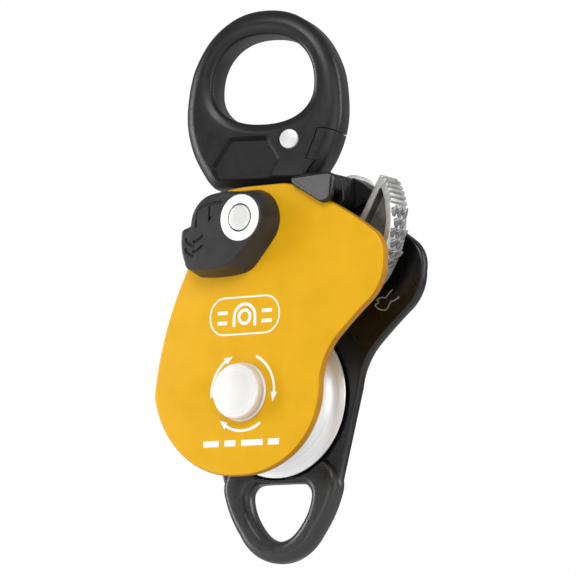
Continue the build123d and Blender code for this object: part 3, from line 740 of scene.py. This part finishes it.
# the upper left shoulder has a wide sloping facet, the rest of the rim a small rounding
facet = []
for x, z in base_face:
    rise = min(1.0, max(0.0, (z - 51.0) / 2.0)) * min(1.0, max(0.0, (-3.0 - x) / 4.0))
    facet.append(rise * rise * (3 - 2 * rise))
for share in range(6):
    a = math.radians(18 * share)
    small = offset(base_face, RIM_ROUND * (1 - math.cos(a)))
    wide = offset(base_face, FACET_WIDTH * share / 5)
    points = [tuple(np.array(p) * (1 - w) + np.array(q) * w) for p, q, w in zip(small, wide, facet)]
    small_y, wide_y = LEVER_RIM - RIM_ROUND * math.sin(a), FACET_FOOT - FACET_RISE * share / 5
    depths = [small_y * (1 - w) + wide_y * w for w in facet]
    rings.append((points, depths))
lever = loft("lock_lever_skin", rings, 24.0)

# arrow and chevrons: line and width
engraved = [
    (curve_line((-14.3, 51.6), (-14.3, 54.2), (-14.1, 56.4), (-12.6, 58.0), (-9.8, 58.6), (-4.6, 58.9)), 1.0),
    ([(-9.3, 58.3), (-9.3, 53.6)], 0.75),
    (curve_line((-18.1, 48.5), (-17.9, 47.5), (-16.6, 46.5), (-15.0, 45.7)), 0.85),
    (curve_line((-15.4, 47.3), (-14.2, 47.1), (-12.7, 48.0), (-11.6, 48.9)), 0.85),
    (curve_line((-18.1, 45.4), (-17.9, 44.4), (-16.6, 43.4), (-15.0, 42.6)), 0.85),
    (curve_line((-15.4, 44.2), (-14.2, 44.0), (-12.7, 44.9), (-11.6, 45.8)), 0.85),
]
barb = [(-9.7, 53.0), (-7.4, 54.9), (-9.7, 54.6)]
cuts = [stroke("cut", line, FACE - 0.4, FACE + 0.45, w) for line, w in engraved]
carve(lever, *cuts, prism("cut", barb, FACE - 0.4, FACE + 0.45),
      lathe("lever_bore", [(-22, 0), (-22, 3.3), (-11, 3.3), (-11, 0)], LEVER, 48),
      lathe("lever_pocket", [(-15.0, 4.4), (-15.0, 7.4), (-11, 7.4), (-11, 4.4)], LEVER, 64), angle=24.0)
dress(lever, M_PLASTIC, "lock_lever", "black_plastic", "lock_lever")
# near-black sheet at the bottom of each groove: painted shade in the engraving
groove_shade = join("lever_groove_shade", [stroke("m", line, SHADE_FLOOR, SHADE_TOP, w - 0.04) for line, w in engraved]
             + [prism("m", barb, SHADE_FLOOR, SHADE_TOP)])
dress(groove_shade, M_GROOVE_SHADE, "lock_lever", "black_plastic")
lever_washer = [(-19.96, 4.45), (-20.22, 4.45), (-20.34, 4.55), (-20.4, 4.7), (-20.4, 6.9), (-20.34, 7.12),
                (-20.2, 7.27), (-19.96, 7.3)]
dress(lathe("lever_ring_skin", lever_washer, LEVER, 96), M_RING, "opening_plate", "bright_aluminium",
      "lever_ring")
lever_pin = [(-9.2, 0), (-9.2, 3.2), (-19.96, 3.2), (-19.96, 4.0), (-20.25, 4.0), (-20.45, 3.85), (-20.58, 3.5),
             (-20.6, 3.2), (-20.6, 0)]
dress(lathe("lever_pin_skin", lever_pin, LEVER, 96), M_SATIN, "opening_plate", "steel", "lever_pin")

# ------------------------------------------------------------------ cam lock
pad = fillet([(17.2, 65.9, 1.7), (18.4, 63.5, 1.9), (29.2, 57.0, 2.4), (32.8, 57.8, 2.4), (33.5, 66.6, 2.0)],
             steps=8)
pad_side = loft("pad_side", [(pad, -12.75), (pad, -14.0), (offset(pad, 0.12), -14.3),
                             (offset(pad, 0.35), -14.5), (offset(pad, 0.75), -14.62)], 40.0)
neck = fillet([(20.2, 67.0, 0.8), (20.2, 65.6, 0.3), (31.0, 60.6, 0.5), (32.1, 60.3, 0.5), (33.3, 61.0, 0.8),
               (32.9, 66.2, 1.2)], steps=5)
neck_part = loft("neck", [(neck, -12.8), (neck, -8.9)], 40.0)
# the middle and the nose share their lower corners
foot = [(21.0, 57.5, 3.0), (25.5, 55.2, 2.0), (31.6, 55.6, 1.5)]
mid_body = fillet([(21.4, 66.3, 1.0), *foot, (34.0, 58.5, 1.2), (33.2, 66.2, 1.2)], steps=6)
mid_part = loft("mid", [(offset(mid_body, 0.3), -8.9), (mid_body, -8.6), (mid_body, -2.6),
                        (offset(mid_body, 0.4), -2.2)], 40.0)
nose = fillet([(22.4, 65.9, 1.0), *foot, (38.2, 58.8, 0.8), (40.0, 61.8, 0.8), (36.4, 64.4, 1.2),
               (33.2, 66.2, 1.0)], steps=6)
nose_part = loft("low", [(nose, -2.4), (nose, 3.7), (offset(nose, 0.3), 4.0)], 40.0)
lock = join("cam_lock_skin", [pad_side, neck_part, mid_part, nose_part])
dress(lock, M_GLOSSY, "cam_lock", "black_plastic", "cam_lock")
pad_face = loft("cam_lock_pad", [(offset(pad, 0.62), -14.6), (offset(pad, 0.66), -14.68),
                                 (offset(pad, 0.95), -14.74)], 40.0)
dress(pad_face, M_PAD, "cam_lock", "black_plastic")
lock_shank = lathe("shank", [(-8.6, 0), (-8.6, 1.8), (-8.4, 2.0), (12.4, 2.0), (12.4, 0)], LOCK_AXLE, 48)
# flange that shows above the lock, a little left of the shank
flange = [(5.5, 0), (5.5, 7.4), (5.62, 7.9), (5.95, 8.25), (6.4, 8.4), (9.19, 8.4), (9.19, 0)]
lock_axle = lathe("lock_axle_skin", flange, (26.2, 60.7), 96)
carve(lock_axle, lock_shank, operation="UNION")
dress(lock_axle, M_SATIN, "frame", "steel", "lock_axle")

# ------------------------------------------------------------------ cam
FACE_C, FACE_R, CAM_HALF = (23.74, 52.20), 24.96, 4.4
TOOTH_TILT, TOOTH_LENGTH, TOOTH_R = 44.0, 3.1, 1.4


def on_face(deg, r=0.0):
    """Point on the toothed face at an angle in degrees, raised by r."""
    return polar(FACE_R + r, deg, FACE_C)


cam_rim = arc((9.2, 38.5), (13.6, 28.9), (22.4, 33.0), 22) + [(22.4, 33.0), (31.0, 29.0)]
cam_rim += arc((31.0, 29.0), (39.5, 32.2), (44.6, 38.5), 12)
cam_rim += [on_face(d) for d in np.linspace(-33.3, 11.0, 22)]
# five grip ridges above the teeth, then the tip and the back
for k in range(5):
    d0 = 11.6 + 3.95 * k
    cam_rim += [on_face(d0, 0.15), on_face(d0 + 0.5, 0.8), on_face(d0 + 2.7, 0.75), on_face(d0 + 3.3, -0.25)]
cam_rim += [(45.3, 65.3), (44.9, 66.0), (44.3, 66.1), (43.8, 65.6), (34.5, 49.0), (20.0, 42.2)]
cam_rim += arc((20.0, 42.2), (13.5, 43.0), (9.2, 38.5), 10)
cam_body = slab("cam_skin", cam_rim, -CAM_HALF, CAM_HALF, 0.35,
                holes=[circle(*CAM_AXLE, 3.06, 40)], segs=3)
window = fillet([(44.7, 62.8, 0.6), (36.9, 48.4, 0.5), (32.2, 41.0, 3.0), (33.2, 33.8, 2.0), (38.3, 34.8, 2.0),
                 (42.6, 39.4, 4.0), (46.0, 45.0, 6.0), (47.0, 52.0, 8.0), (46.3, 58.0, 6.0)], steps=6)
carve(cam_body, *[loft("w", [(window, s * 5.0), (window, s * 4.1), (offset(window, 0.4), s * 1.5),
                              (offset(window, 0.7), s * 1.3)]) for s in (-1, 1)], angle=30.0)


def spike(deg, y):
    """One leaning rope tooth with a rounded point."""
    x, z = on_face(deg, -0.75)
    lean = math.radians(deg + TOOTH_TILT)
    axis = np.array((math.cos(lean), 0.0, math.sin(lean)))
    side = np.array((-axis[2], 0.0, axis[0]))
    flat = np.array((0.0, 1.0, 0.0))
    verts, faces, n = [], [], 14
    for h, r in ((0.0, 1.0), (0.35, 0.80), (0.7, 0.46), (0.9, 0.24), (1.0, 0.1)):
        for k in range(n):
            t = 2 * math.pi * k / n
            round_axis = side * math.cos(t) + flat * math.sin(t)
            verts.append(tuple(np.array((x, y, z)) + axis * TOOTH_LENGTH * h + round_axis * TOOTH_R * r))
    for level in range(4):
        for k in range(n):
            j = (k + 1) % n
            faces.append((level * n + k, level * n + j, (level + 1) * n + j, (level + 1) * n + k))
    faces += [tuple(range(n)), tuple(reversed(range(4 * n, 5 * n)))]
    return finish_mesh(from_lists("spike", verts, faces), 50.0)


teeth = []
for row in range(6):
    deg = -33.0 + 7.4 * row
    columns = (-2.9, 0.0, 2.9) if row % 2 else (-1.5, 1.5)
    teeth += [spike(deg, y) for y in columns]
dress(cam_body, M_CAST, "cam", "cast_steel", "cam")
# faces inside the window take the darker steel: painted shade in the recess
cam_body.data.materials.append(M_POCKET_SHADE)
pocket = np.array(offset(window, -0.2))
for face in cam_body.data.polygons:
    x, y, z = (c / MM for c in face.center)
    if abs(y) < CAM_HALF - 0.25 and inside(pocket, x, z):
        face.material_index = 1
dress(join("cam_teeth", teeth), M_TOOTH, "cam", "cast_steel")

# ------------------------------------------------------------------ printed marks
INK = (FRONT - 0.045, FRONT + 0.02)
BADGE_Z, ARROWS_R = 23.6, 12.0
SIGN_X, SIGN_WIDEN, SIGN_SHIFT = 38.6, 1.45, 0.6


def ring_arrow(r, start, end, width=0.85, head=2.7):
    """Part of a ring about the axle ending in an arrowhead; angles in degrees, clockwise."""
    steps = max(4, int(abs(end - start) / 4))
    tip = math.degrees(head / r)
    body = [polar(r, start + (end + tip - start) * k / steps) for k in range(steps + 1)]
    point = [polar(r - head * 0.45, end + tip), polar(r + head * 0.45, end + tip),
             polar(r, end - 0.15 * tip)]
    return [stroke("ink", body, *INK, width), prism("ink", point, *INK)]


marks = []
for start, end in ((186, 112), (66, -15), (-54, -133)):
    marks += ring_arrow(ARROWS_R, start, end)
badge = fillet([(-13.2, 18.2, 5.4), (13.2, 18.2, 5.4), (13.2, 29.8, 5.4), (-13.2, 29.8, 5.4)], steps=10)
marks += [stroke("ink", badge, *INK, 0.5, closed=True)]
marks += [stroke("ink", circle(0, BADGE_Z, 2.1, 40), *INK, 1.0, closed=True)]
arch = [(-4.0, 20.6), (-4.0, BADGE_Z)] + [polar(4.0, 180 - 12 * k, (0, BADGE_Z)) for k in range(1, 15)]
marks += [stroke("ink", arch + [(4.0, BADGE_Z), (4.0, 20.6)], *INK, 1.0)]
marks += [prism("ink", [(s * 6.6, low), (s * 10.4, low), (s * 10.4, high), (s * 6.6, high)], *INK)
          for low, high in ((21.4, 22.5), (24.6, 25.7)) for s in (-1, 1)]
marks += [stroke("ink", [(x, -15.8), (x + w, -15.8)], *INK, 1.9)
          for x, w in ((-14.6, 6.0), (-6.4, 4.2), (0.0, 8.2), (10.2, 4.2))]
dress(join("plate_marks", marks), M_WHITE, "opening_plate", "orange_anodised")
# outline sign on the inner face of the fixed plate
grip = [curve_line((36.4, 29.6), (37.6, 30.2), (38.6, 30.0), (39.6, 31.4), (40.4, 32.4)),
        curve_line((36.4, 29.6), (36.9, 28.6), (36.0, 28.0), (36.6, 27.0), (37.4, 26.4), (38.8, 26.2),
                   (39.4, 27.0)),
        curve_line((39.4, 27.0), (40.0, 28.6), (41.0, 29.0), (42.2, 30.0))]
sign = [[(SIGN_X + SIGN_WIDEN * (x - SIGN_X) - SIGN_SHIFT, z) for x, z in path] for path in grip]
dress(join("sign_marks", [stroke("ink", line, INNER_B - 0.04, INNER_B + 0.02, 0.36) for line in sign]),
      M_GREYLINE, "frame", "black_anodised")

# ------------------------------------------------------------------ CAD pieces that stay
for mat, names in (
        (M_BLACK, ("head_block",)),
        (M_ALU, ("bearing_outer", "bearing_inner")),
        (M_BRIGHT, ("axle_rivet",)),
        (M_RUBBER, ("shield_front", "shield_back")),
        (M_PLASTIC, ("cam_spacer",)),
        (M_STEEL, ("head_rivet", "top_stud", "swivel_stud", "swivel_nut", "swivel_balls", "bearing_balls",
                   "cam_axle", "cam_clip", "cam_spring", "lock_spring", "lever_spring"))):
    for name in names:
        mesh = NODES[name].data
        mesh.materials.clear()
        mesh.materials.append(mat)

# ------------------------------------------------------------------ studio
AMBIENT, FLOOR_HALF, FLOOR_Z, LIT_POINT = 0.34, 4, -0.3, (0, 0, 0.035)
world = bpy.data.worlds.new("studio")
SCENE.world = world
world.use_nodes = True
tree = world.node_tree
tree.nodes.clear()
out = tree.nodes.new("ShaderNodeOutputWorld")
soft, white = tree.nodes.new("ShaderNodeBackground"), tree.nodes.new("ShaderNodeBackground")
for node, strength in ((soft, AMBIENT), (white, 1.0)):
    node.inputs["Color"].default_value = (1, 1, 1, 1)
    node.inputs["Strength"].default_value = strength
path, mix = tree.nodes.new("ShaderNodeLightPath"), tree.nodes.new("ShaderNodeMixShader")
tree.links.new(path.outputs["Is Camera Ray"], mix.inputs["Fac"])
tree.links.new(soft.outputs["Background"], mix.inputs[1])
tree.links.new(white.outputs["Background"], mix.inputs[2])
tree.links.new(mix.outputs["Shader"], out.inputs["Surface"])

floor_mesh = bpy.data.meshes.new("floor")
corners = ((-1, -1), (1, -1), (1, 1), (-1, 1))
floor_mesh.from_pydata([(x * FLOOR_HALF, y * FLOOR_HALF, FLOOR_Z) for x, y in corners], [], [(0, 1, 2, 3)])
floor = bpy.data.objects.new("floor", floor_mesh)
SCENE.collection.objects.link(floor)
floor_mesh.materials.append(material("floor", (0.86, 0.86, 0.86), 0.8)[0])


def softbox(name, place, size, watts):
    """Area light pointed at the object."""
    data = bpy.data.lights.new(name, "AREA")
    data.shape, data.size, data.size_y, data.energy = "RECTANGLE", size[0], size[1], watts
    light = bpy.data.objects.new(name, data)
    SCENE.collection.objects.link(light)
    light.location = place
    light.rotation_euler = (Vector(LIT_POINT) - Vector(place)).to_track_quat("-Z", "Y").to_euler()


for name, place, size, watts in (
        ("key", (0.35, -1.2, 0.95), (0.9, 0.7), 12.0),
        ("right", (1.3, -0.6, 0.1), (0.8, 1.2), 5.0),
        ("front", (-0.2, -1.5, -0.3), (0.8, 0.8), 4.0),
        ("left", (-1.15, -0.55, 0.05), (0.35, 1.0), 8.5),
        ("rim_right", (1.0, 0.6, 0.45), (0.5, 0.9), 7.0)):
    softbox(name, place, size, watts)
SCENE.view_settings.view_transform = "Standard"
SCENE.view_settings.look = "None"
